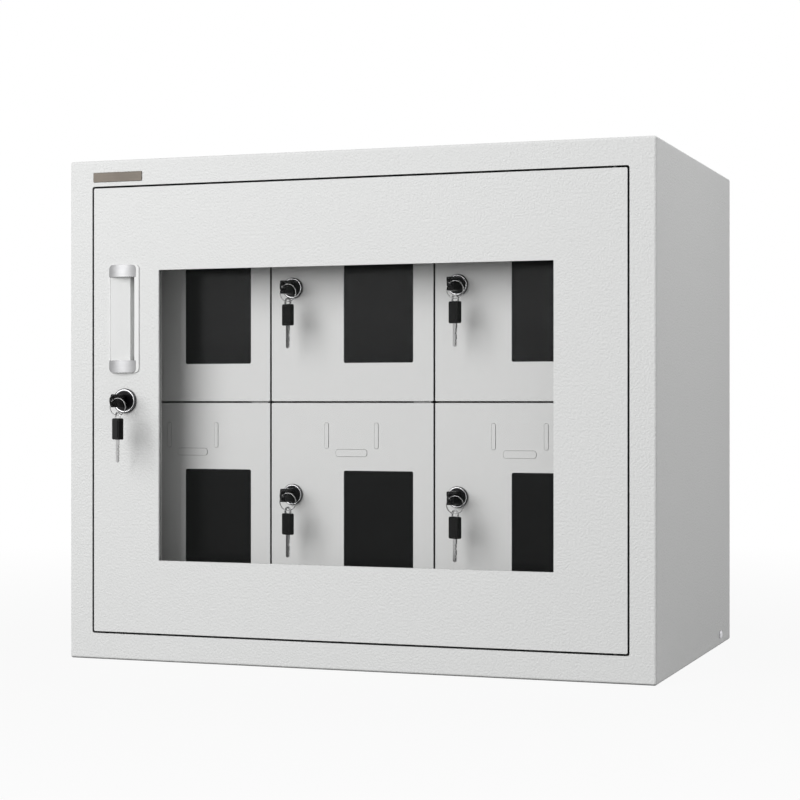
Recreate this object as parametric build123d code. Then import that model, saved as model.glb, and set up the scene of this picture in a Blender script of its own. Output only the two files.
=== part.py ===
"""Phone locker cabinet: a sheet-steel casing with a glazed outer door over six small inner doors.

Frame: X to the right, Y into the cabinet, Z up, in millimetres. The origin is the middle of the
casing's underside. Every lock, key and inner door is built once at the origin of its own local
frame (face at y = 0, depth towards +Y) and moved into place.
"""
import os
from math import cos, radians, sin

from build123d import *

# Casing
WIDTH, DEPTH, HEIGHT = 600.0, 375.0, 500.0
SHEET = 1.5
FRONT, BACK = -DEPTH / 2, DEPTH / 2
STILE, RAIL = 25.0, 26.0
OPENING_RETURN = 18.5
BEND = 2.5
BACK_LIP = 14.0
WALL_HOLE_R, WALL_SPACING_X, WALL_SPACING_Z = 4.0, 400.0, 300.0
SIDE_SCREW_Y, SIDE_SCREW_Z = FRONT + 316.0, 12.0
BADGE_X, BADGE_Z = -246.5, 483.0

# Outer door
DOOR_GAP = 2.0
DOOR_SHEET, DOOR_DEPTH, DOOR_LIP = 1.2, 18.0, 12.0
HINGE_IN, HINGE_BACK = 12.0, 5.0
HINGE_PIN_R, RUNNING = 3.0, 0.05
WINDOW_X = (-201.2, 203.5)
WINDOW_Z = (100.3, 389.0)
WINDOW_LIP, PANE, PANE_LAP = 4.0, 3.0, 11.0
RETAINER, RETAINER_WIDTH = 1.5, 16.0
HANDLE_X, HANDLE_Z, HANDLE_W, HANDLE_H = -239.0, 341.0, 33.5, 108.5
HANDLE_DEPTH, HANDLE_CAP, HANDLE_WALL = 15.0, 12.5, 1.6
OUTER_LOCK_X, OUTER_LOCK_Z = -238.0, 259.0

# Six compartments behind it
RECESS = 50.0
COLUMN, ROW = 172.2, 205.1
COLUMNS_LEFT, ROWS_BOTTOM = -273.8, 52.7
INNER_FRONT = FRONT + RECESS
INNER_GAP, INNER_SHEET, INNER_DEPTH = 2.0, 1.0, 14.0
MODULE_SHEET, MODULE_FRONT = 1.2, INNER_FRONT + 16.0
MODULE_BACK = BACK - SHEET - 0.5
STRIKE = 12.0
TAB_HALF, TAB_FRONT, PIVOT_R, PIVOT_REACH = 9.0, INNER_FRONT + 2.2, 2.0, 8.0
SMALL_WINDOW_W, SMALL_WINDOW_H, SMALL_WINDOW_LEFT, SMALL_WINDOW_TOP = 72.5, 99.0, 78.0, 67.6
SMALL_PANE = 2.5
LOCK_LEFT, LOCK_TOP = 24.0, 91.9

# Locks and keys
PLUG_R, NECK_R = 6.0, 8.0
HEAD_LENGTH, SLEEVE_LENGTH, HEAD_WIDTH, HEAD_THICK = 27.5, 21.0, 13.0, 6.6
EYE_TAB_THICK, EYE_TAB_HALF, EYE_R, EYE_IN = 1.6, 4.8, 3.6, 4.8
BLADE_LENGTH, BLADE_WIDTH, BLADE_THICK = 22.5, 4.4, 1.8
KEY_STANDOFF, KEYWAY_END = 5.0, 17.8
RING_R, WIRE_R = 8.5, 0.8
SPARE_YAW = -32.0


def block(x0, x1, y0, y1, z0, z1):
    """A box between two corners."""
    middle = Location(((x0 + x1) / 2, (y0 + y1) / 2, (z0 + z1) / 2))
    return middle * Box(x1 - x0, y1 - y0, z1 - z0)


def rod_y(x, z, radius, y0, y1):
    """A cylinder along Y."""
    turn = Location((x, (y0 + y1) / 2, z), (90, 0, 0))
    return turn * Cylinder(radius, y1 - y0)


def rod_z(x, y, radius, z0, z1):
    """A cylinder along Z."""
    return Location((x, y, (z0 + z1) / 2)) * Cylinder(radius, z1 - z0)


def rod_x(y, z, radius, x0, x1):
    """A cylinder along X."""
    turn = Location(((x0 + x1) / 2, y, z), (0, 90, 0))
    return turn * Cylinder(radius, x1 - x0)


def rounded(x0, x1, y0, y1, z0, z1, radius):
    """A box whose four edges along Y are rounded."""
    plain = block(x0, x1, y0, y1, z0, z1)
    return fillet(plain.edges().filter_by(Axis.Y), radius)


def save(name, shape):
    export_step(shape, f"parts/{name}.step")


def group(solids):
    return Compound(children=list(solids))


# ---------------------------------------------------------------- casing

def body_shell():
    """Wrapped top, base and sides with a face frame that is folded back round the opening."""
    outer = block(-WIDTH / 2, WIDTH / 2, FRONT, BACK, 0, HEIGHT)
    upright_edges = outer.edges().filter_by(Axis.Y)
    front_edges = outer.faces().sort_by(Axis.Y)[0].edges()
    outer = fillet(upright_edges + front_edges, BEND)
    hollow = block(-WIDTH / 2 + SHEET, WIDTH / 2 - SHEET, FRONT + SHEET, BACK + 1, SHEET, HEIGHT - SHEET)
    shell = outer - hollow
    ox, oz0, oz1 = WIDTH / 2 - STILE, RAIL, HEIGHT - RAIL
    collar = block(-ox - SHEET, ox + SHEET, FRONT, FRONT + OPENING_RETURN, oz0 - SHEET, oz1 + SHEET)
    opening = rounded(-ox, ox, FRONT - 1, FRONT + OPENING_RETURN + 1, oz0, oz1, BEND)
    shell = shell + collar - opening
    for z0, z1 in ((oz0 - SHEET - 1, oz0 + 1), (oz1 - 1, oz1 + SHEET + 1)):
        shell -= rod_z(HINGE_X, HINGE_Y, HINGE_PIN_R, z0, z1)
    for side in (-1, 1):
        shell -= rod_x(SIDE_SCREW_Y, SIDE_SCREW_Z, 2.2, side * WIDTH / 2 - 3, side * WIDTH / 2 + 3)
    return shell


def back_panel():
    """Drop-in back with a folded rim and four wall holes."""
    half, low, high = WIDTH / 2 - SHEET - 0.3, SHEET + 0.3, HEIGHT - SHEET - 0.3
    panel = block(-half, half, BACK - BACK_LIP, BACK, low, high)
    t = SHEET
    panel -= block(-half + t, half - t, BACK - BACK_LIP - 1, BACK - t, low + t, high - t)
    for x in (-WALL_SPACING_X / 2, WALL_SPACING_X / 2):
        for z in (-WALL_SPACING_Z / 2, WALL_SPACING_Z / 2):
            panel -= rod_y(x, HEIGHT / 2 + z, WALL_HOLE_R, BACK - 5, BACK + 1)
    return panel


def badge_plate():
    """Blank name plate on the face frame, its outer edges eased."""
    x, z = BADGE_X, BADGE_Z
    plate = rounded(x - 27, x + 27, FRONT - 0.8, FRONT, z - 4.8, z + 4.8, 1.0)
    return chamfer(plate.faces().sort_by(Axis.Y)[0].edges(), 0.25)


def pan_head(y, z, side):
    """A screw through a side wall, its domed head outside."""
    wall = side * WIDTH / 2
    head = rod_x(y, z, 4.0, min(wall, wall + side * 2.4), max(wall, wall + side * 2.4))
    rim = head.faces().sort_by(Axis.X)[-1 if side > 0 else 0].edges()
    head = fillet(rim, 1.4)
    shank = rod_x(y, z, 2.0, min(wall, wall - side * 10), max(wall, wall - side * 10))
    return head + shank


# ---------------------------------------------------------------- compartments

def column_x(index):
    return COLUMNS_LEFT + index * COLUMN


def row_z(index):
    return ROWS_BOTTOM + index * ROW


def inner_mask():
    """Fixed sheet that fills the casing round the six inner doors, folded back at its opening."""
    x0, x1 = column_x(0) - 1.0, column_x(3) + 1.0
    z0, z1 = row_z(0) - 1.0, row_z(2) + 1.0
    t = MODULE_SHEET
    side = WIDTH / 2 - SHEET
    mask = block(-side, side, INNER_FRONT, INNER_FRONT + t, SHEET, HEIGHT - SHEET)
    mask += block(x0 - t, x1 + t, INNER_FRONT, INNER_FRONT + 15, z0 - t, z1 + t)
    return mask - block(x0, x1, INNER_FRONT - 1, INNER_FRONT + 16, z0, z1)


def hinge_x(column):
    """The pivot line of the doors in one column, near their right edge."""
    return column_x(column + 1) - INNER_GAP / 2 - HINGE_IN


def shelf(index):
    """One level sheet with a tab at every hinge, slotted at the back to cross the uprights."""
    z, t = row_z(index), MODULE_SHEET
    middle = (MODULE_FRONT + MODULE_BACK) / 2
    side = WIDTH / 2 - SHEET
    sheet = block(-side, side, MODULE_FRONT, BACK - BACK_LIP - 1, z - t / 2, z + t / 2)
    sheet += block(-side + 8, side - 8, BACK - BACK_LIP - 2, MODULE_BACK, z - t / 2, z + t / 2)
    for column in range(3):
        x = hinge_x(column)
        sheet += block(x - TAB_HALF, x + TAB_HALF, TAB_FRONT, MODULE_FRONT + 1, z - t / 2, z + t / 2)
        sheet -= rod_z(x, INNER_FRONT + HINGE_BACK, PIVOT_R, z - 2, z + 2)
    for line in range(4):
        x = column_x(line)
        sheet -= block(x - 0.8, x + 0.8, middle, BACK, z - 2, z + 2)
    return sheet


def upright(line):
    """One vertical sheet with a strike flange at its front, slotted at the front for the shelves."""
    x, t = column_x(line), MODULE_SHEET
    middle = (MODULE_FRONT + MODULE_BACK) / 2
    low, high = row_z(0) - 0.6, row_z(2) + 0.6
    sheet = block(x - t / 2, x + t / 2, MODULE_FRONT, MODULE_BACK, low, high)
    if line < 3:
        sheet += block(x - t / 2, x + STRIKE, MODULE_FRONT, MODULE_FRONT + t, low, high)
    for level in range(3):
        z = row_z(level)
        sheet -= block(x - 2, x + STRIKE + 1, MODULE_FRONT - 1, middle, z - 0.8, z + 0.8)
    return sheet


def pivot_pins():
    """Dowels in the shelf tabs: every inner door turns on one above and one below it."""
    pins = []
    for column in range(3):
        for level in range(3):
            z = row_z(level)
            low = z - (PIVOT_REACH if level > 0 else 0.6)
            high = z + (PIVOT_REACH if level < 2 else 0.6)
            pins.append(rod_z(hinge_x(column), INNER_FRONT + HINGE_BACK, PIVOT_R, low, high))
    return pins


# ---------------------------------------------------------------- outer door

DOOR_X = WIDTH / 2 - STILE - DOOR_GAP
DOOR_Z0, DOOR_Z1 = RAIL + DOOR_GAP, HEIGHT - RAIL - DOOR_GAP
HINGE_X, HINGE_Y = DOOR_X - HINGE_IN, FRONT + HINGE_BACK


def outer_door_panel():
    """A folded pan with a glazed opening, a handle cut-out and a lock hole."""
    t, back = DOOR_SHEET, FRONT + DOOR_DEPTH
    panel = rounded(-DOOR_X, DOOR_X, FRONT, back, DOOR_Z0, DOOR_Z1, 1.5)
    panel -= block(-DOOR_X + t, DOOR_X - t, FRONT + t, back - t, DOOR_Z0 + t, DOOR_Z1 - t)
    lip = DOOR_LIP
    panel -= block(-DOOR_X + lip, DOOR_X - lip, back - 2 * t, back + 1, DOOR_Z0 + lip, DOOR_Z1 - lip)
    (x0, x1), (z0, z1) = WINDOW_X, WINDOW_Z
    panel += block(x0 - t, x1 + t, FRONT, FRONT + WINDOW_LIP, z0 - t, z1 + t)
    panel -= rounded(x0, x1, FRONT - 1, FRONT + WINDOW_LIP + 1, z0, z1, 0.8)
    hw, hh = HANDLE_W / 2 - 2, HANDLE_H / 2 - 2
    hx, hz = HANDLE_X, HANDLE_Z
    panel -= rounded(hx - hw, hx + hw, FRONT - 1, FRONT + 2, hz - hh, hz + hh, 3.0)
    panel -= rod_y(OUTER_LOCK_X, OUTER_LOCK_Z, NECK_R, FRONT - 1, FRONT + 2)
    for z in (DOOR_Z0, DOOR_Z1):
        panel -= rod_z(HINGE_X, HINGE_Y, HINGE_PIN_R + RUNNING, z - 3, z + 3)
    return panel


def window_pane():
    (x0, x1), (z0, z1) = WINDOW_X, WINDOW_Z
    lap, y = PANE_LAP, FRONT + WINDOW_LIP
    return block(x0 - lap, x1 + lap, y, y + PANE, z0 - lap, z1 + lap)


def window_retainer():
    """A picture-frame clip behind the pane, with its edge turned forward to the door sheet."""
    (x0, x1), (z0, z1) = WINDOW_X, WINDOW_Z
    out, y = RETAINER_WIDTH, FRONT + WINDOW_LIP + PANE
    t = RETAINER
    frame = block(x0 - out, x1 + out, FRONT + DOOR_SHEET, y + t, z0 - out, z1 + out)
    gap = out - t
    frame -= block(x0 - gap, x1 + gap, FRONT, y, z0 - gap, z1 + gap)
    return frame - block(x0 - 1, x1 + 1, FRONT, y + t + 1, z0 - 1, z1 + 1)


def retainer_screws():
    """Eight cheese-head screws that clamp the retainer."""
    (x0, x1), (z0, z1) = WINDOW_X, WINDOW_Z
    y = FRONT + WINDOW_LIP + PANE + RETAINER
    inset = 6.0
    middle_x, middle_z = (x0 + x1) / 2, (z0 + z1) / 2
    places = [(x, z) for x in (x0 - inset, middle_x, x1 + inset) for z in (z0 - inset, z1 + inset)]
    places += [(x, middle_z) for x in (x0 - inset, x1 + inset)]
    heads = []
    for x, z in places:
        head = rod_y(x, z, 3.0, y, y + 2.0)
        slot = block(x - 4, x + 4, y + 1.2, y + 3, z - 0.4, z + 0.4)
        heads.append(head - slot)
    return heads


def handle_cup():
    """The flush pull: a ramp that falls to a finger slot under the right-hand rim."""
    x, z, w, h = HANDLE_X, HANDLE_Z, HANDLE_W / 2, HANDLE_H / 2
    wall = HANDLE_WALL
    rim = rounded(x - w, x + w, FRONT - 1.2, FRONT, z - h, z + h, 5.0)
    rim = fillet(rim.faces().sort_by(Axis.Y)[0].edges(), 0.8)
    body = rounded(x - w + 2, x + w - 2, FRONT, FRONT + HANDLE_DEPTH, z - h + 2, z + h - 2, 3.0)
    cup = rim + body
    left, right = x - w + 1.3, x + w - 3.5 - wall
    low, high = z - h + HANDLE_CAP, z + h - HANDLE_CAP
    ramp = Polyline(
        (left, FRONT - 2), (left, FRONT - 0.8), (right - 7.0, FRONT + 3.6),
        (right - 7.0, FRONT + HANDLE_DEPTH - wall), (right, FRONT + HANDLE_DEPTH - wall),
        (right, FRONT - 2), close=True,
    )
    hollow = extrude(make_face(ramp), high - low, dir=(0, 0, 1))
    return cup - Location((0, 0, low)) * hollow


def handle_end_caps():
    """Satin end pieces, domed across, that leave the cup's right-hand rim bare."""
    caps = []
    x, w = HANDLE_X - 1.5, HANDLE_W / 2 - 1.8
    low, high = HANDLE_Z - HANDLE_H / 2 + 0.5, HANDLE_Z + HANDLE_H / 2 - 0.5
    outline = rounded(x - w, x + w, FRONT - 8, FRONT, low, high, 4.5)
    for side in (-1, 1):
        edge = HANDLE_Z + side * (HANDLE_H / 2 - 0.5)
        inner = HANDLE_Z + side * (HANDLE_H / 2 - HANDLE_CAP)
        y = FRONT - 1.2
        dome = Face(Wire([Line((x - w, y), (x + w, y)), ThreePointArc((x + w, y), (x, y - 3.2), (x - w, y))]))
        cap = extrude(dome, HANDLE_CAP - 0.5, dir=(0, 0, 1))
        caps.append(Location((0, 0, min(edge, inner))) * cap & outline)
    return caps


# ---------------------------------------------------------------- locks and keys

def lock_housing(bezel_r, face_r, length):
    """Threaded barrel with a raised round bezel, bored for its plug."""
    bezel = rod_y(0, 0, bezel_r, -3.0, 0)
    bezel = fillet(bezel.faces().sort_by(Axis.Y)[0].edges(), 1.0)
    body = bezel + rod_y(0, 0, NECK_R, 0, length)
    body -= rod_y(0, 0, face_r + 0.1, -4.0, -0.8)
    return body - rod_y(0, 0, PLUG_R + RUNNING, -2, length + 1)


def lock_nut(sheet):
    """Hexagon nut that clamps the barrel behind the sheet."""
    turn = Location((0, sheet + 4.0, 0), (90, 0, 0))
    nut = turn * extrude(RegularPolygon(11.5, 6), 4.0)
    return nut - rod_y(0, 0, NECK_R, sheet - 1, sheet + 5)


def lock_plug(face_r, length):
    """The turning plug: a wide front disc, a shaft and a keyway."""
    plug = rod_y(0, 0, face_r, -2.6, -0.9) + rod_y(0, 0, PLUG_R, -0.9, length)
    half_t, half_w = BLADE_THICK / 2 + 0.3, BLADE_WIDTH / 2 + 0.3
    return plug - block(-half_t, half_t, -4, KEYWAY_END, -half_w, half_w)


def lock_cam(y, reach, direction):
    """Flat cam on the plug's tail: +1 points up at rest, -1 down."""
    arm = block(-6, 6, y, y + 2, min(0, direction * reach), max(0, direction * reach))
    arm = fillet(arm.edges().filter_by(Axis.Y).sort_by(Axis.Z)[-2 if direction > 0 else 0:][:2], 4.0)
    hub = rod_y(0, 0, 8.0, y, y + 2)
    bolt = rod_y(0, 0, 3.5, y + 2, y + 4.5)
    return arm + hub, bolt


def key_blade():
    """Blade along +Y from the head's end at y = 0, with its cuts on the upper edge."""
    blade = block(-BLADE_THICK / 2, BLADE_THICK / 2, 0, BLADE_LENGTH, -BLADE_WIDTH / 2, BLADE_WIDTH / 2)
    blade = chamfer(blade.edges().filter_by(Axis.X).sort_by(Axis.Y)[-2:], 1.2)
    for step, y in enumerate((6, 9.5, 13, 16.5, 19.5)):
        depth = (1.0, 1.6, 0.8, 1.4, 1.1)[step]
        notch = Location((0, y, BLADE_WIDTH / 2), (45, 0, 0)) * Box(4, depth * 1.4, depth * 1.4)
        blade -= notch
    return blade - block(0.35, 2, 2, BLADE_LENGTH + 1, -1.0, -0.2)


def key_head():
    """Moulded sleeve up to y = 0, with a thin tab at its outer end for the ring's eye."""
    half = HEAD_WIDTH / 2
    sleeve = block(-HEAD_THICK / 2, HEAD_THICK / 2, -SLEEVE_LENGTH, 0, -half, half)
    sleeve = fillet(sleeve.edges().filter_by(Axis.X), 1.6)
    sleeve = fillet(sleeve.edges().filter_by(Axis.Z), 0.6)
    eye, half_t = -HEAD_LENGTH + EYE_IN, EYE_TAB_THICK / 2
    tab = rod_x(eye, 0, EYE_TAB_HALF, -half_t, half_t)
    tab += block(-half_t, half_t, eye, -SLEEVE_LENGTH + 1, -EYE_TAB_HALF, EYE_TAB_HALF)
    return sleeve + tab - rod_x(eye, 0, EYE_R, -HEAD_THICK, HEAD_THICK)


def key_ring(side):
    """Split ring through the eye at the origin; it hangs down and to one side."""
    lean = radians(45)
    centre = (side * RING_R * sin(lean), 0, -RING_R * cos(lean))
    return Location(centre, (90, 0, 0)) * Torus(RING_R, WIRE_R)


def hang_key(shape, side):
    """Turn a key so that it hangs, blade down, from the lowest point of the ring."""
    eye = -HEAD_LENGTH + EYE_IN
    upright_key = Location((0, 0, 0), (-90, 0, 0)) * (Location((0, -eye, 0)) * shape)
    turned = Location((0, 0, 0), (0, 0, -(90 - SPARE_YAW))) * upright_key
    lean = radians(45)
    drop = RING_R * (1 + cos(lean)) + 1.0
    return Location((side * RING_R * sin(lean), 0, -drop)) * turned


EYE_Y = -KEY_STANDOFF - HEAD_LENGTH + EYE_IN


def at_key(shape):
    return Location((0, -KEY_STANDOFF, 0)) * shape


# ---------------------------------------------------------------- inner doors

def emboss(panel, x0, x1, z0, z1, radius):
    """One label tab: a low pad with a pressed line round it."""
    g = 0.4
    panel -= rounded(x0 - g, x1 + g, -1, 0.5, z0 - g, z1 + g, radius + g)
    return panel + rounded(x0, x1, -0.5, 0.7, z0, z1, radius)


def inner_door_panel():
    """Local origin: the door's left boundary at its top, face at y = 0."""
    g, t = INNER_GAP / 2, INNER_SHEET
    x0, x1, z0, z1 = g, COLUMN - g, -ROW + g, -g
    panel = rounded(x0, x1, 0, INNER_DEPTH, z0, z1, 1.0)
    panel -= block(x0 + t, x1 - t, t, INNER_DEPTH + 1, z0 + t, z1 - t)
    wx, wz = SMALL_WINDOW_LEFT, -SMALL_WINDOW_TOP
    panel -= rounded(wx, wx + SMALL_WINDOW_W, -1, 2, wz - SMALL_WINDOW_H, wz, 1.8)
    panel -= rod_y(LOCK_LEFT, -LOCK_TOP, NECK_R, -1, 2)
    middle = COLUMN / 2
    for side in (-1, 1):
        x = middle + side * 26.2
        panel = emboss(panel, x - 1.9, x + 1.9, -45.6, -20.7, 1.4)
    panel = emboss(panel, middle - 16.2, middle + 16.2, -53.6, -46.8, 2.4)
    for z in (z0, z1):
        panel -= rod_z(COLUMN - g - HINGE_IN, HINGE_BACK, PIVOT_R + RUNNING, z - 3, z + 3)
    return panel


def inner_window():
    wx, wz, lap, t = SMALL_WINDOW_LEFT, -SMALL_WINDOW_TOP, 6.0, INNER_SHEET
    return block(wx - lap, wx + SMALL_WINDOW_W + lap, t, t + SMALL_PANE, wz - SMALL_WINDOW_H - lap, wz + lap)


def build_inner_door(number):
    """Write the five nodes of one compartment door."""
    column, level = (number - 1) % 3, 1 - (number - 1) // 3
    corner = Location((column_x(column), INNER_FRONT, row_z(level + 1)))
    lock = corner * Location((LOCK_LEFT, 0, -LOCK_TOP))
    save(f"door_{number}_panel", corner * inner_door_panel())
    save(f"door_{number}_window", corner * inner_window())
    barrel = lock_housing(10.4, 8.6, 17.5)
    save(f"door_{number}_lock_barrel", group([lock * barrel, lock * lock_nut(INNER_SHEET)]))
    cam, bolt = lock_cam(18.5, 19.5, 1)
    turning = [lock_plug(8.5, 18.5), cam, bolt, at_key(key_blade()), at_key(key_head())]
    save(f"door_{number}_lock_cylinder", group([lock * piece for piece in turning]))
    hanging = [key_ring(1), hang_key(key_head(), 1), hang_key(key_blade(), 1)]
    eye = lock * Location((0, EYE_Y, 0))
    save(f"door_{number}_spare_key", group([eye * piece for piece in hanging]))


def build_outer_lock():
    lock = Location((OUTER_LOCK_X, FRONT, OUTER_LOCK_Z))
    eye = lock * Location((0, EYE_Y, 0))
    cam, bolt = lock_cam(20.0, 43.0, 1)
    save("outer_lock_barrel", lock * lock_housing(12.35, 9.6, 19.0))
    save("outer_lock_nut", lock * lock_nut(DOOR_SHEET))
    save("outer_lock_plug", lock * lock_plug(9.5, 20.0))
    save("outer_lock_cam", group([lock * cam, lock * bolt]))
    save("outer_key_blade", lock * at_key(key_blade()))
    save("outer_key_head", lock * at_key(key_head()))
    save("outer_key_ring", eye * key_ring(1))
    save("outer_spare_blade", eye * hang_key(key_blade(), 1))
    save("outer_spare_head", eye * hang_key(key_head(), 1))


def hinge_pins():
    """Headed pins through the folded opening edge into the outer door's top and bottom."""
    pins = []
    for z, side in ((RAIL, -1), (HEIGHT - RAIL, 1)):
        inside, outside = z - side * 14, z + side * SHEET
        pin = rod_z(HINGE_X, HINGE_Y, HINGE_PIN_R, min(inside, outside), max(inside, outside))
        tip = outside + side * 2.5
        head = rod_z(HINGE_X, HINGE_Y + 1.5, 4.6, min(outside, tip), max(outside, tip))
        pins.append(pin + head)
    return pins


def main():
    os.makedirs("parts", exist_ok=True)
    save("body_shell", body_shell())
    save("back_panel", back_panel())
    save("side_screws", group([pan_head(SIDE_SCREW_Y, SIDE_SCREW_Z, side) for side in (-1, 1)]))
    save("badge_plate", badge_plate())
    save("inner_mask", inner_mask())
    for index, name in enumerate(("bottom_shelf", "middle_shelf", "top_shelf")):
        save(name, shelf(index))
    for line in range(4):
        save(f"upright_{line + 1}", upright(line))
    save("inner_pivot_pins", group(pivot_pins()))
    save("outer_hinge_pins", group(hinge_pins()))
    save("outer_door_panel", outer_door_panel())
    save("outer_door_pane", window_pane())
    save("pane_retainer", window_retainer())
    save("pane_screws", group(retainer_screws()))
    save("handle_cup", handle_cup())
    save("handle_end_caps", group(handle_end_caps()))
    build_outer_lock()
    for number in range(1, 7):
        build_inner_door(number)


main()
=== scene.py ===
"""Looks of the phone locker cabinet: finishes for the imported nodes, detailed keys, camera and light."""
from math import cos, pi, radians, sin

import bpy
from mathutils import Matrix, Vector


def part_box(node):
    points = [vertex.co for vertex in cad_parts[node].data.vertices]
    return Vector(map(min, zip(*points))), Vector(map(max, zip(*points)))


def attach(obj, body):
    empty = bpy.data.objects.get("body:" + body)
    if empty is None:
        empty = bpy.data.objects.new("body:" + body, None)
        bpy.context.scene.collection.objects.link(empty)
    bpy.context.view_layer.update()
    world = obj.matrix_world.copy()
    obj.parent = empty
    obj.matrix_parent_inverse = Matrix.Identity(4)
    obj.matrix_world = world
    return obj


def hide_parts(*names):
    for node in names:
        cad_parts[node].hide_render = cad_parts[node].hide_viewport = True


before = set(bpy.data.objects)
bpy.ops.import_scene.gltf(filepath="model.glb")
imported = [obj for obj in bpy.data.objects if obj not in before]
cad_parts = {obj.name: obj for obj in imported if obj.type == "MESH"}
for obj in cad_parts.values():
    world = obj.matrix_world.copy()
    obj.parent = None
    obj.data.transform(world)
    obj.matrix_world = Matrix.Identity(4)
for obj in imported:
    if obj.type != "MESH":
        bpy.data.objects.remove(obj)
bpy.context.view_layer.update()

MM = 0.001
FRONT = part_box("outer_door_panel")[0].y
DOORS = range(1, 7)

# Keys and locks, as in the model's source
HEAD_LENGTH, SLEEVE_LENGTH, HEAD_WIDTH, HEAD_THICK = 27.5 * MM, 21.0 * MM, 13.0 * MM, 6.6 * MM
TAB_THICK, TAB_HALF, EYE_R, EYE_IN = 1.6 * MM, 4.8 * MM, 3.6 * MM, 4.8 * MM
BLADE_LENGTH, BLADE_WIDTH, BLADE_THICK = 22.5 * MM, 4.4 * MM, 1.8 * MM
KEY_STANDOFF = 5.0 * MM
BEZEL_DEPTH, INNER_SHEET = 3.0 * MM, 1.0 * MM
RING_R, WIRE_R = 8.5 * MM, 0.8 * MM
SPARE_YAW = -32.0


# ---------------------------------------------------------------- camera and light

CAMERA_AT = Vector((0.678, -1.9485, 0.258))
CAMERA_YAW = 19.54
FOCAL = 88.6
SHIFT_Y = 0.0023
FLOOR_HALF, FLOOR_GAP = 60.0, 0.0003


def add_camera():
    data = bpy.data.cameras.new("camera")
    data.lens, data.sensor_width, data.shift_y = FOCAL, 36.0, SHIFT_Y
    camera = bpy.data.objects.new("camera", data)
    camera.location = CAMERA_AT
    camera.rotation_euler = (radians(90), 0, radians(CAMERA_YAW))
    bpy.context.collection.objects.link(camera)
    bpy.context.scene.camera = camera


def add_area(name, at, towards, size, watts):
    data = bpy.data.lights.new(name, "AREA")
    data.shape, data.size, data.energy = "SQUARE", size, watts
    lamp = bpy.data.objects.new(name, data)
    lamp.location = at
    lamp.rotation_euler = (Vector(towards) - Vector(at)).to_track_quat("-Z", "Y").to_euler()
    bpy.context.collection.objects.link(lamp)


def add_world(strength):
    world = bpy.data.worlds.new("studio")
    world.use_nodes = True
    bpy.context.scene.world = world
    tree = world.node_tree
    tree.nodes.clear()
    out = tree.nodes.new("ShaderNodeOutputWorld")
    light, white = tree.nodes.new("ShaderNodeBackground"), tree.nodes.new("ShaderNodeBackground")
    light.inputs[0].default_value = (1, 1, 1, 1)
    light.inputs[1].default_value = strength
    white.inputs[0].default_value = (1, 1, 1, 1)
    white.inputs[1].default_value = 1.0
    mix = tree.nodes.new("ShaderNodeMixShader")
    tree.links.new(seen_directly(tree), mix.inputs[0])
    tree.links.new(light.outputs[0], mix.inputs[1])
    tree.links.new(white.outputs[0], mix.inputs[2])
    tree.links.new(mix.outputs[0], out.inputs[0])


def seen_directly(tree):
    """1 for rays from the camera, by reflection or through glass."""
    path = tree.nodes.new("ShaderNodeLightPath")
    total = path.outputs["Is Camera Ray"]
    for name in ("Is Glossy Ray", "Is Transmission Ray"):
        larger = tree.nodes.new("ShaderNodeMath")
        larger.operation = "MAXIMUM"
        tree.links.new(total, larger.inputs[0])
        tree.links.new(path.outputs[name], larger.inputs[1])
        total = larger.outputs[0]
    return total


def add_floor():
    """White floor that glows when seen directly, and keeps a faint shadow near the cabinet."""
    half, below = FLOOR_HALF, -FLOOR_GAP
    corners = [(-half, -half, below), (half, -half, below), (half, half, below), (-half, half, below)]
    mesh = bpy.data.meshes.new("floor")
    mesh.from_pydata([Vector(corner) for corner in corners], [], [(0, 1, 2, 3)])
    floor = bpy.data.objects.new("floor", mesh)
    bpy.context.collection.objects.link(floor)
    mat = bpy.data.materials.new("floor_paper")
    mat.use_nodes = True
    tree = mat.node_tree
    tree.nodes.clear()
    out = tree.nodes.new("ShaderNodeOutputMaterial")
    paper, glow = tree.nodes.new("ShaderNodeBsdfDiffuse"), tree.nodes.new("ShaderNodeEmission")
    paper.inputs[0].default_value = (0.34, 0.34, 0.34, 1)
    glow.inputs[0].default_value = (1, 1, 1, 1)
    glow.inputs[1].default_value = 1.0
    share = tree.nodes.new("ShaderNodeMath")
    share.operation = "MULTIPLY"
    away = tree.nodes.new("ShaderNodeVectorMath")
    away.operation = "LENGTH"
    tree.links.new(position(tree), away.inputs[0])
    tree.links.new(spread(tree, away.outputs["Value"], 0.93, 1.0, 0.4, 1.6), share.inputs[1])
    tree.links.new(seen_directly(tree), share.inputs[0])
    mix = tree.nodes.new("ShaderNodeMixShader")
    tree.links.new(share.outputs[0], mix.inputs[0])
    tree.links.new(paper.outputs[0], mix.inputs[1])
    tree.links.new(glow.outputs[0], mix.inputs[2])
    tree.links.new(mix.outputs[0], out.inputs[0])
    mesh.materials.append(mat)


# ---------------------------------------------------------------- materials

def new_material(name, colour, metallic=0.0, roughness=0.5, **sockets):
    """A Principled material with its plain values set on the shader's own sockets."""
    mat = bpy.data.materials.new(name)
    mat.use_nodes = True
    shader = mat.node_tree.nodes["Principled BSDF"]
    shader.inputs["Base Color"].default_value = (*colour, 1)
    shader.inputs["Metallic"].default_value = metallic
    shader.inputs["Roughness"].default_value = roughness
    for socket, value in sockets.items():
        shader.inputs[socket.replace("_", " ")].default_value = value
    return mat, mat.node_tree, shader


def position(tree, stretch=(1, 1, 1)):
    """Row-frame coordinates, stretched for brushed or drawn patterns."""
    coords = tree.nodes.new("ShaderNodeTexCoord")
    mapping = tree.nodes.new("ShaderNodeMapping")
    mapping.inputs["Scale"].default_value = stretch
    tree.links.new(coords.outputs["Object"], mapping.inputs["Vector"])
    return mapping.outputs["Vector"]


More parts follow.
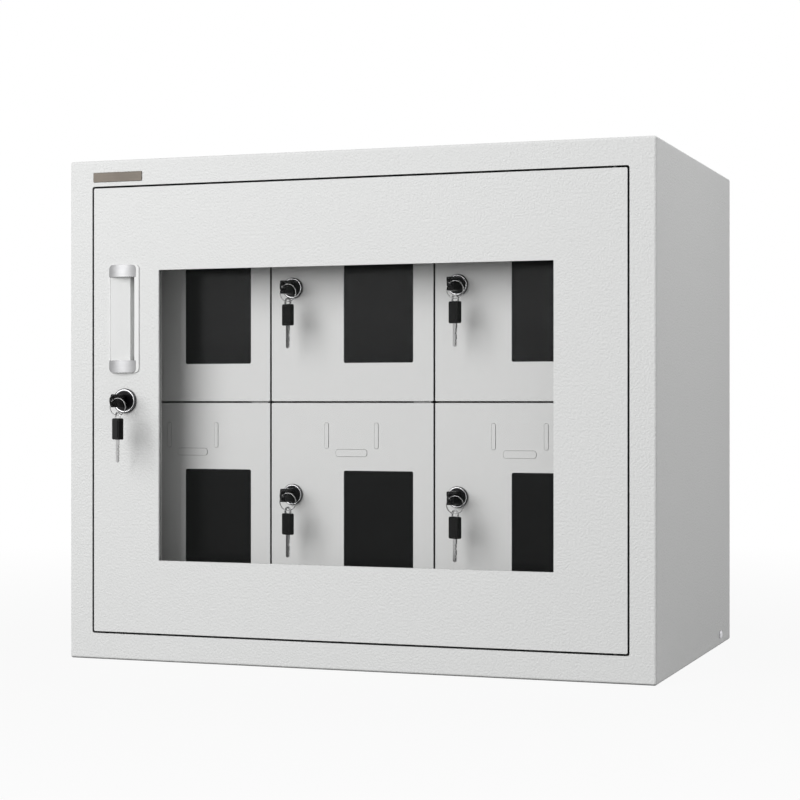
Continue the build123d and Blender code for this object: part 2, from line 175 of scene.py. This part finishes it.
def noise(tree, vector, scale, detail=2.0, rough=0.5):
    node = tree.nodes.new("ShaderNodeTexNoise")
    node.inputs["Scale"].default_value = scale
    node.inputs["Detail"].default_value = detail
    node.inputs["Roughness"].default_value = rough
    tree.links.new(vector, node.inputs["Vector"])
    return node.outputs[0]


def spread(tree, value, low, high, start=0.0, end=1.0):
    """Remap a value to a range."""
    node = tree.nodes.new("ShaderNodeMapRange")
    node.inputs["From Min"].default_value = start
    node.inputs["From Max"].default_value = end
    node.inputs["To Min"].default_value = low
    node.inputs["To Max"].default_value = high
    tree.links.new(value, node.inputs["Value"])
    return node.outputs[0]


def blend_colours(tree, factor, first, second):
    node = tree.nodes.new("ShaderNodeMix")
    node.data_type = "RGBA"
    node.inputs[6].default_value = (*first, 1)
    node.inputs[7].default_value = (*second, 1)
    tree.links.new(factor, node.inputs[0])
    return node.outputs[2]


def bump(tree, shader, heights, strength, depths):
    """Chain height maps into the shader's normal."""
    last = None
    for height, depth in zip(heights, depths):
        node = tree.nodes.new("ShaderNodeBump")
        node.inputs["Strength"].default_value = strength
        node.inputs["Distance"].default_value = depth
        tree.links.new(height, node.inputs["Height"])
        if last is not None:
            tree.links.new(last, node.inputs["Normal"])
        last = node.outputs["Normal"]
    tree.links.new(last, shader.inputs["Normal"])


def edge_mask(tree, radius=0.0012):
    """Rises along sharp edges, where paint thins and polishes."""
    soft = tree.nodes.new("ShaderNodeBevel")
    soft.samples = 4
    soft.inputs["Radius"].default_value = radius
    geometry = tree.nodes.new("ShaderNodeNewGeometry")
    dot = tree.nodes.new("ShaderNodeVectorMath")
    dot.operation = "DOT_PRODUCT"
    tree.links.new(soft.outputs["Normal"], dot.inputs[0])
    tree.links.new(geometry.outputs["Normal"], dot.inputs[1])
    return spread(tree, dot.outputs["Value"], 1.0, 0.0, 0.8, 0.99)


def powder_coat(name, colour, peel_scale, peel_depth, roughness):
    """Baked powder coat: orange peel, faint cloudiness, brighter edges, and painted shade that darkens
    narrow gaps.
    """
    mat, tree, shader = new_material(name, colour, roughness=roughness)
    vector = position(tree)
    cloud = noise(tree, vector, 3.0, 3.0)
    darker = tuple(c * 0.975 for c in colour)
    tone = blend_colours(tree, cloud, darker, colour)
    worn = tree.nodes.new("ShaderNodeMix")
    worn.data_type = "RGBA"
    worn.inputs[7].default_value = (*[min(1.0, c * 1.12) for c in colour], 1)
    tree.links.new(edge_mask(tree), worn.inputs[0])
    tree.links.new(tone, worn.inputs[6])
    # Painted shade: ambient occlusion blends the coat's colour towards near black in narrow gaps and
    # crevices.
    crevice = tree.nodes.new("ShaderNodeAmbientOcclusion")
    crevice.samples = 8
    crevice.inputs["Distance"].default_value = 0.006
    painted_gap_shade = tree.nodes.new("ShaderNodeMix")
    painted_gap_shade.data_type = "RGBA"
    painted_gap_shade.inputs[6].default_value = (0.03, 0.03, 0.03, 1)
    tree.links.new(spread(tree, crevice.outputs["AO"], 0.0, 1.0, 0.15, 0.6), painted_gap_shade.inputs[0])
    tree.links.new(worn.outputs[2], painted_gap_shade.inputs[7])
    tree.links.new(painted_gap_shade.outputs[2], shader.inputs["Base Color"])
    peel = noise(tree, vector, peel_scale, 2.0, 0.45)
    fine = noise(tree, vector, peel_scale * 3.5, 1.0)
    tree.links.new(spread(tree, peel, roughness - 0.06, roughness + 0.08), shader.inputs["Roughness"])
    bump(tree, shader, (peel, fine), 0.8, (peel_depth, peel_depth * 0.25))
    return mat


def brushed_metal(name, colour, roughness, stretch):
    """Drawn metal with fine lines along one axis."""
    mat, tree, shader = new_material(name, colour, metallic=1.0, roughness=roughness)
    lines = noise(tree, position(tree, stretch), 900.0, 3.0)
    smudge = noise(tree, position(tree), 60.0, 2.0)
    darker = tuple(c * 0.82 for c in colour)
    tree.links.new(blend_colours(tree, lines, darker, colour), shader.inputs["Base Color"])
    tree.links.new(spread(tree, smudge, roughness - 0.08, roughness + 0.1), shader.inputs["Roughness"])
    bump(tree, shader, (lines,), 0.35, (0.00003,))
    return mat


def moulded_black(name, colour, roughness):
    """Moulded plastic with fine grain and rubbed edges."""
    mat, tree, shader = new_material(name, colour, roughness=roughness, Specular_IOR_Level=0.09)
    grain = noise(tree, position(tree), 2600.0, 2.0)
    rubbed = blend_colours(tree, edge_mask(tree, 0.0003), colour, tuple(c + 0.02 for c in colour))
    tree.links.new(rubbed, shader.inputs["Base Color"])
    tree.links.new(spread(tree, grain, roughness - 0.08, roughness + 0.12), shader.inputs["Roughness"])
    bump(tree, shader, (grain,), 0.4, (0.00004,))
    return mat


def plated(name, colour, roughness):
    """Nickel or zinc plate with faint haze."""
    mat, tree, shader = new_material(name, colour, metallic=1.0, roughness=roughness)
    haze = noise(tree, position(tree), 400.0, 3.0)
    darker = tuple(c * 0.88 for c in colour)
    tree.links.new(blend_colours(tree, haze, darker, colour), shader.inputs["Base Color"])
    tree.links.new(spread(tree, haze, roughness * 0.6, roughness * 1.5), shader.inputs["Roughness"])
    return mat


def pane_material(name, colour, alpha, roughness):
    """Glass or acrylic: mostly see-through at a low alpha, smoked at a high one."""
    mat, tree, shader = new_material(name, colour, roughness=roughness, Alpha=alpha,
                                     Specular_IOR_Level=0.05)
    film = noise(tree, position(tree), 14.0, 3.0)
    tree.links.new(spread(tree, film, roughness, roughness + 0.05), shader.inputs["Roughness"])
    return mat


PLUG_BLACK, CAM_STEEL = (0.005, 0.005, 0.006), (0.6, 0.6, 0.62)
CAM_AND_BOLT = 4.8 * MM


def slot_cylinder(name, steel_from):
    """Black plug in front, zinc-plated cam behind the given depth."""
    mat, tree, shader = new_material(name, PLUG_BLACK, roughness=0.32, Specular_IOR_Level=0.09)
    split = tree.nodes.new("ShaderNodeSeparateXYZ")
    tree.links.new(position(tree), split.inputs[0])
    behind = spread(tree, split.outputs["Y"], 0.0, 1.0, steel_from - 0.0001, steel_from)
    tree.links.new(blend_colours(tree, behind, PLUG_BLACK, CAM_STEEL), shader.inputs["Base Color"])
    tree.links.new(behind, shader.inputs["Metallic"])
    grain = noise(tree, position(tree), 1500.0, 2.0)
    tree.links.new(spread(tree, grain, 0.26, 0.42), shader.inputs["Roughness"])
    return mat


POWDER = powder_coat("powder_coat", (0.73, 0.735, 0.73), 480.0, 0.0007, 0.46)
INNER = powder_coat("inner_coat", (0.68, 0.682, 0.676), 900.0, 0.00006, 0.42)
ZINC = plated("zinc_steel", (0.62, 0.62, 0.64), 0.32)
CHROME = plated("chrome_trim", (0.86, 0.86, 0.87), 0.08)
# Painted reflection: the lock bezels' chrome has its colour painted near black so it shows dark, as
# chrome does when it mirrors dark surroundings.
CHROME_PAINTED_DARK = plated("chrome_painted_dark_reflection", (0.07, 0.07, 0.073), 0.16)
DARK_STEEL = plated("dark_steel", (0.05, 0.05, 0.05), 0.4)
KEY_STEEL = plated("key_steel", (0.5, 0.5, 0.5), 0.2)
RING_STEEL = plated("ring_steel", (0.24, 0.24, 0.24), 0.15)
KEY_BLACK = moulded_black("key_black", (0.005, 0.005, 0.005), 0.36)
LOCK_BLACK = moulded_black("lock_black", PLUG_BLACK, 0.3)
SATIN = brushed_metal("satin_metal", (0.33, 0.33, 0.335), 0.42, (0.05, 1, 1))
BADGE = brushed_metal("badge_metal", (0.085, 0.075, 0.065), 0.4, (0.03, 1, 1))
HANDLE = powder_coat("handle_plastic", (0.76, 0.765, 0.76), 1500.0, 0.00001, 0.3)
CLEAR = pane_material("clear_pane", (0.3, 0.32, 0.31), 0.012, 0.03)
SMOKED = pane_material("smoked_pane", (0.004, 0.004, 0.0042), 0.98, 0.16)
CYLINDER = slot_cylinder("cylinder_finish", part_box("door_1_lock_cylinder")[1].y - CAM_AND_BOLT)

NODE_FINISH = {
    "body_shell": POWDER, "back_panel": POWDER, "outer_door_panel": POWDER,
    "side_screws": ZINC, "pane_screws": ZINC, "outer_lock_nut": ZINC, "outer_lock_cam": ZINC,
    "inner_pivot_pins": DARK_STEEL, "outer_hinge_pins": DARK_STEEL, "outer_lock_barrel": CHROME_PAINTED_DARK,
    "outer_lock_plug": LOCK_BLACK, "handle_end_caps": SATIN, "handle_cup": HANDLE,
    "outer_door_pane": CLEAR, "badge_plate": BADGE,
}


def finish_nodes():
    """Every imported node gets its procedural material."""
    for name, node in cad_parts.items():
        mat = NODE_FINISH.get(name, INNER)
        if name.endswith("_window"):
            mat = SMOKED
        elif name.endswith("lock_cylinder"):
            mat = CYLINDER
        elif name.endswith("lock_barrel"):
            mat = CHROME_PAINTED_DARK
        for slot in node.material_slots:
            slot.material = mat


# ---------------------------------------------------------------- keys

# Key drawings lie in a plane: along the key, then across it; this turns them to the key's own frame.
KEY_FRAME = Matrix(((0, 0, 1, 0), (1, 0, 0, 0), (0, 1, 0, 0), (0, 0, 0, 1)))


def rounded_outline(x0, x1, half, radius, steps=5):
    points = []
    corners = ((x1 - radius, half - radius, 0), (x0 + radius, half - radius, 90),
               (x0 + radius, -half + radius, 180), (x1 - radius, -half + radius, 270))
    for cx, cy, start in corners:
        for step in range(steps + 1):
            angle = radians(start + 90 * step / steps)
            points.append((cx + radius * cos(angle), cy + radius * sin(angle)))
    return points


def circle(x, y, radius, steps=28):
    angles = [2 * pi * step / steps for step in range(steps)]
    return [(x + radius * cos(angle), y + radius * sin(angle)) for angle in angles]


def plate(name, outlines, thickness, bevel):
    """A flat plate with holes and rounded edges, as a mesh in the key's frame."""
    curve = bpy.data.curves.new(name + "_drawing", "CURVE")
    curve.dimensions, curve.fill_mode = "2D", "BOTH"
    curve.extrude, curve.bevel_depth, curve.bevel_resolution = thickness / 2 - bevel, bevel, 2
    curve.offset = -bevel
    for outline in outlines:
        spline = curve.splines.new("POLY")
        spline.points.add(len(outline) - 1)
        for point, (x, y) in zip(spline.points, outline):
            point.co = (x, y, 0, 1)
        spline.use_cyclic_u = True
    drawing = bpy.data.objects.new(name + "_drawing", curve)
    mesh = bpy.data.meshes.new_from_object(drawing)
    mesh.transform(KEY_FRAME)
    bpy.data.objects.remove(drawing)
    bpy.data.curves.remove(curve)
    return mesh


def blade_outline():
    """Cut edge on top, straight back below, pointed tip."""
    half = BLADE_WIDTH / 2
    tip = BLADE_LENGTH
    points = [(0, -half), (tip - 1.4 * MM, -half), (tip, -0.6 * MM), (tip - 0.6 * MM, 0.6 * MM)]
    cuts = ((19.5, 1.1), (16.5, 1.4), (13, 0.8), (9.5, 1.6), (6, 1.0))
    for at, depth in cuts:
        d = depth * MM
        points += [(at * MM + d, half), (at * MM + 0.25 * MM, half - d),
                   (at * MM - 0.25 * MM, half - d), (at * MM - d, half)]
    return points + [(0, half)]


def head_panel_outline():
    """Raised grip pad on the flats of the sleeve."""
    return rounded_outline(-SLEEVE_LENGTH + 2 * MM, -2 * MM, HEAD_WIDTH / 2 - 1.8 * MM, 1.2 * MM)


def tab_outline():
    """Round-ended tab that carries the eye."""
    end = [(EYE_X - TAB_HALF * sin(pi * k / 18), TAB_HALF * cos(pi * k / 18)) for k in range(19)]
    return end + [(-SLEEVE_LENGTH + 1 * MM, -TAB_HALF), (-SLEEVE_LENGTH + 1 * MM, TAB_HALF)]


EYE_X = -HEAD_LENGTH + EYE_IN
SLEEVE_MESH = plate("key_sleeve", [rounded_outline(-SLEEVE_LENGTH, 0, HEAD_WIDTH / 2, 1.6 * MM)],
                    HEAD_THICK - 0.8 * MM, 0.7 * MM)
TAB_MESH = plate("key_tab", [tab_outline(), circle(EYE_X, 0, EYE_R)], TAB_THICK, 0.2 * MM)
PAD_MESH = plate("key_pad", [head_panel_outline()], HEAD_THICK, 0.25 * MM)
BLADE_MESH = plate("key_blade", [blade_outline()], BLADE_THICK, 0.12 * MM)


def ring_mesh():
    """Split ring: two turns of wire side by side, in the plane of the door."""
    curve = bpy.data.curves.new("ring_drawing", "CURVE")
    curve.dimensions, curve.bevel_depth, curve.bevel_resolution = "3D", WIRE_R * 0.52, 3
    spline = curve.splines.new("POLY")
    turns, steps = 1.94, 120
    spline.points.add(steps)
    for step, point in enumerate(spline.points):
        angle = 2 * pi * turns * step / steps
        y = (step / steps - 0.5) * WIRE_R * 1.1
        point.co = (RING_R * sin(angle + 0.6), y, RING_R * cos(angle + 0.6), 1)
    curve.use_fill_caps = True
    drawing = bpy.data.objects.new("ring_drawing", curve)
    mesh = bpy.data.meshes.new_from_object(drawing)
    bpy.data.objects.remove(drawing)
    bpy.data.curves.remove(curve)
    return mesh


RING_MESH = ring_mesh()


def lathe_mesh(name, profile, steps=72):
    """Turn a closed (radius, y) profile about the Y axis."""
    count = len(profile)
    verts, faces = [], []
    for step in range(steps):
        angle = 2 * pi * step / steps
        verts += [(radius * cos(angle), y, radius * sin(angle)) for radius, y in profile]
        after = (step + 1) % steps
        for here in range(count):
            there = (here + 1) % count
            faces.append((step * count + here, step * count + there,
                          after * count + there, after * count + here))
    mesh = bpy.data.meshes.new(name)
    mesh.from_pydata(verts, [], faces)
    return mesh


def bezel_trim(name, inner, outer):
    """Bright half-round ring set in the bezel, round the plug's face."""
    middle, half = (inner + outer) / 2, (outer - inner) / 2
    angles = [pi * step / 8 for step in range(9)]
    arc = [(middle + half * cos(angle), -BEZEL_DEPTH - half * 0.7 * sin(angle)) for angle in angles]
    root = -BEZEL_DEPTH + 0.8 * MM
    return lathe_mesh(name, arc + [(inner, root), (outer, root)])


OUTER_TRIM = bezel_trim("outer_trim", 10.4 * MM, 11.2 * MM)
INNER_TRIM = bezel_trim("inner_trim", 9.0 * MM, 9.6 * MM)


def add_piece(name, mesh, place, material, body, smooth=False):
    """A piece whose mesh is set in the row frame and that rides on a body."""
    own = mesh.copy()
    own.transform(place)
    own.materials.clear()
    own.materials.append(material)
    own.polygons.foreach_set("use_smooth", [smooth] * len(own.polygons))
    piece = bpy.data.objects.new(name, own)
    bpy.context.collection.objects.link(piece)
    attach(piece, body)
    return piece


def add_key(name, place, body):
    """Sleeve, its grip pads, eye tab and blade; place carries the key's own frame to the row frame."""
    sleeve = add_piece(name + "_sleeve", SLEEVE_MESH, place, KEY_BLACK, body)
    pad = add_piece(name + "_pad", PAD_MESH, place, KEY_BLACK, body)
    tab_metal, tab_slot = (KEY_STEEL, "key_steel") if "spare" in name else (KEY_BLACK, "key_black")
    tab = add_piece(name + "_tab", TAB_MESH, place, tab_metal, body)
    blade = add_piece(name + "_blade", BLADE_MESH, place, KEY_STEEL, body)
    return (sleeve, pad, tab), blade


def hanging_places(eye):
    """Places of the ring and of the spare key below it: the ring leans to the right of the eye."""
    lean = radians(45)
    right = RING_R * sin(lean)
    centre = Matrix.Translation(eye + Vector((right, 0, -RING_R * cos(lean))))
    drop = RING_R * (1 + cos(lean)) + 1.0 * MM
    spare = Matrix.Translation(eye + Vector((right, 0, -drop)))
    spare = spare @ Matrix.Rotation(radians(SPARE_YAW - 90), 4, "Z")
    spare = spare @ Matrix.Rotation(radians(-90), 4, "X")
    return centre, spare @ Matrix.Translation((0, -EYE_X, 0))


def eye_of(lock):
    return lock + Vector((0, -KEY_STANDOFF + EYE_X, 0))


def replace_key(pieces, head_node, blade_node):
    head, blade = pieces
    for piece in head:
        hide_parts(head_node)
    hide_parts(blade_node)


def add_outer_keys():
    low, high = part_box("outer_lock_plug")
    lock = Vector(((low.x + high.x) / 2, FRONT, (low.z + high.z) / 2))
    trim_at = Matrix.Translation(lock)
    add_piece("outer_bezel_trim", OUTER_TRIM, trim_at, CHROME, "outer_door", True)
    place = Matrix.Translation(lock + Vector((0, -KEY_STANDOFF, 0)))
    replace_key(add_key("outer_key", place, "outer_key"), "outer_key_head", "outer_key_blade")
    ring_at, spare_at = hanging_places(eye_of(lock))
    ring = add_piece("outer_ring", RING_MESH, ring_at, RING_STEEL, "outer_keyring", True)
    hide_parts("outer_key_ring")
    spare = add_key("outer_spare", spare_at, "outer_keyring")
    replace_key(spare, "outer_spare_head", "outer_spare_blade")


def add_inner_keys(number):
    barrel_low, barrel_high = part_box(f"door_{number}_lock_barrel")
    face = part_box(f"door_{number}_window")[0].y - INNER_SHEET
    lock = Vector(((barrel_low.x + barrel_high.x) / 2, face, (barrel_low.z + barrel_high.z) / 2))
    ring_at, spare_at = hanging_places(eye_of(lock))
    keyring = f"keyring_{number}"
    ring = add_piece(f"ring_{number}", RING_MESH, ring_at, RING_STEEL, keyring, True)
    head, blade = add_key(f"spare_{number}", spare_at, keyring)
    for piece in (ring, *head, blade):
        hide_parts(f"door_{number}_spare_key")
    trim_at = Matrix.Translation(lock)
    door = f"door_{number}"
    add_piece(f"bezel_trim_{number}", INNER_TRIM, trim_at, CHROME, door, True)
    pad_at = Matrix.Translation(lock + Vector((0, -KEY_STANDOFF, 0)))
    add_piece(f"inserted_pad_{number}", PAD_MESH, pad_at, KEY_BLACK, f"cylinder_{number}")


add_camera()
add_world(0.36)
add_floor()
add_area("key_light", (-1.35, -2.9, 1.5), (0, 0, 0.25), 2.6, 92.0)
add_area("fill_light", (1.0, -0.15, 1.0), (0.3, 0, 0.3), 0.5, 2.8)
finish_nodes()
add_outer_keys()
for door in DOORS:
    add_inner_keys(door)

bpy.context.scene.view_settings.view_transform = "Standard"
